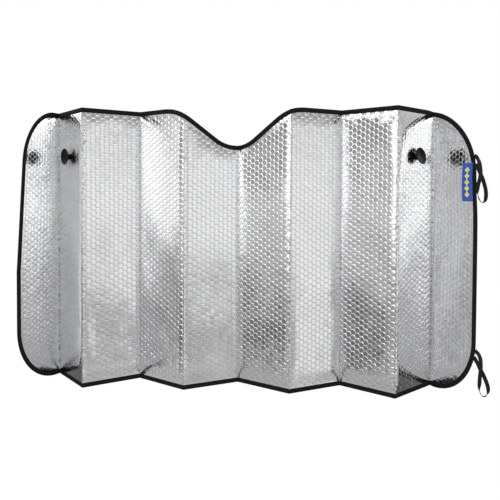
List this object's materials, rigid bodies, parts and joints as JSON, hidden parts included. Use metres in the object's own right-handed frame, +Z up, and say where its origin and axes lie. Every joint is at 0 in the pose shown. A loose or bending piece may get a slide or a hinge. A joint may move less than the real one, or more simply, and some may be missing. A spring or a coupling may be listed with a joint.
{
  "type": "windscreen sunshade",
  "caption": "Folding windscreen sunshade in foil-faced bubble film, with pressed folds, a bound edge, a mirror notch, suction cups and elastic loops.",
  "frame": {"origin": "centre of the underside of the standing shade's bounding box, the elastic loops left out", "axes": "+X along the shade's width to the viewer's right, +Z up, the viewed face towards -Y"},
  "size_m": [0.978, 0.1878, 0.6],
  "materials": {
    "foil_film": "bright foil on bubble film",
    "binding_tape": "matt woven tape",
    "cup_vinyl": "glossy soft moulding",
    "elastic": "braided elastic",
    "label_cloth": "woven satin label"
  },
  "bodies": {
    "root": {"foil_sheet": "foil_film", "edge_binding": "binding_tape", "suction_cup_left": "cup_vinyl", "suction_cup_right": "cup_vinyl", "elastic_loop_upper": "elastic", "elastic_loop_lower": "elastic", "side_label": "label_cloth"}
  },
  "joints": []
}
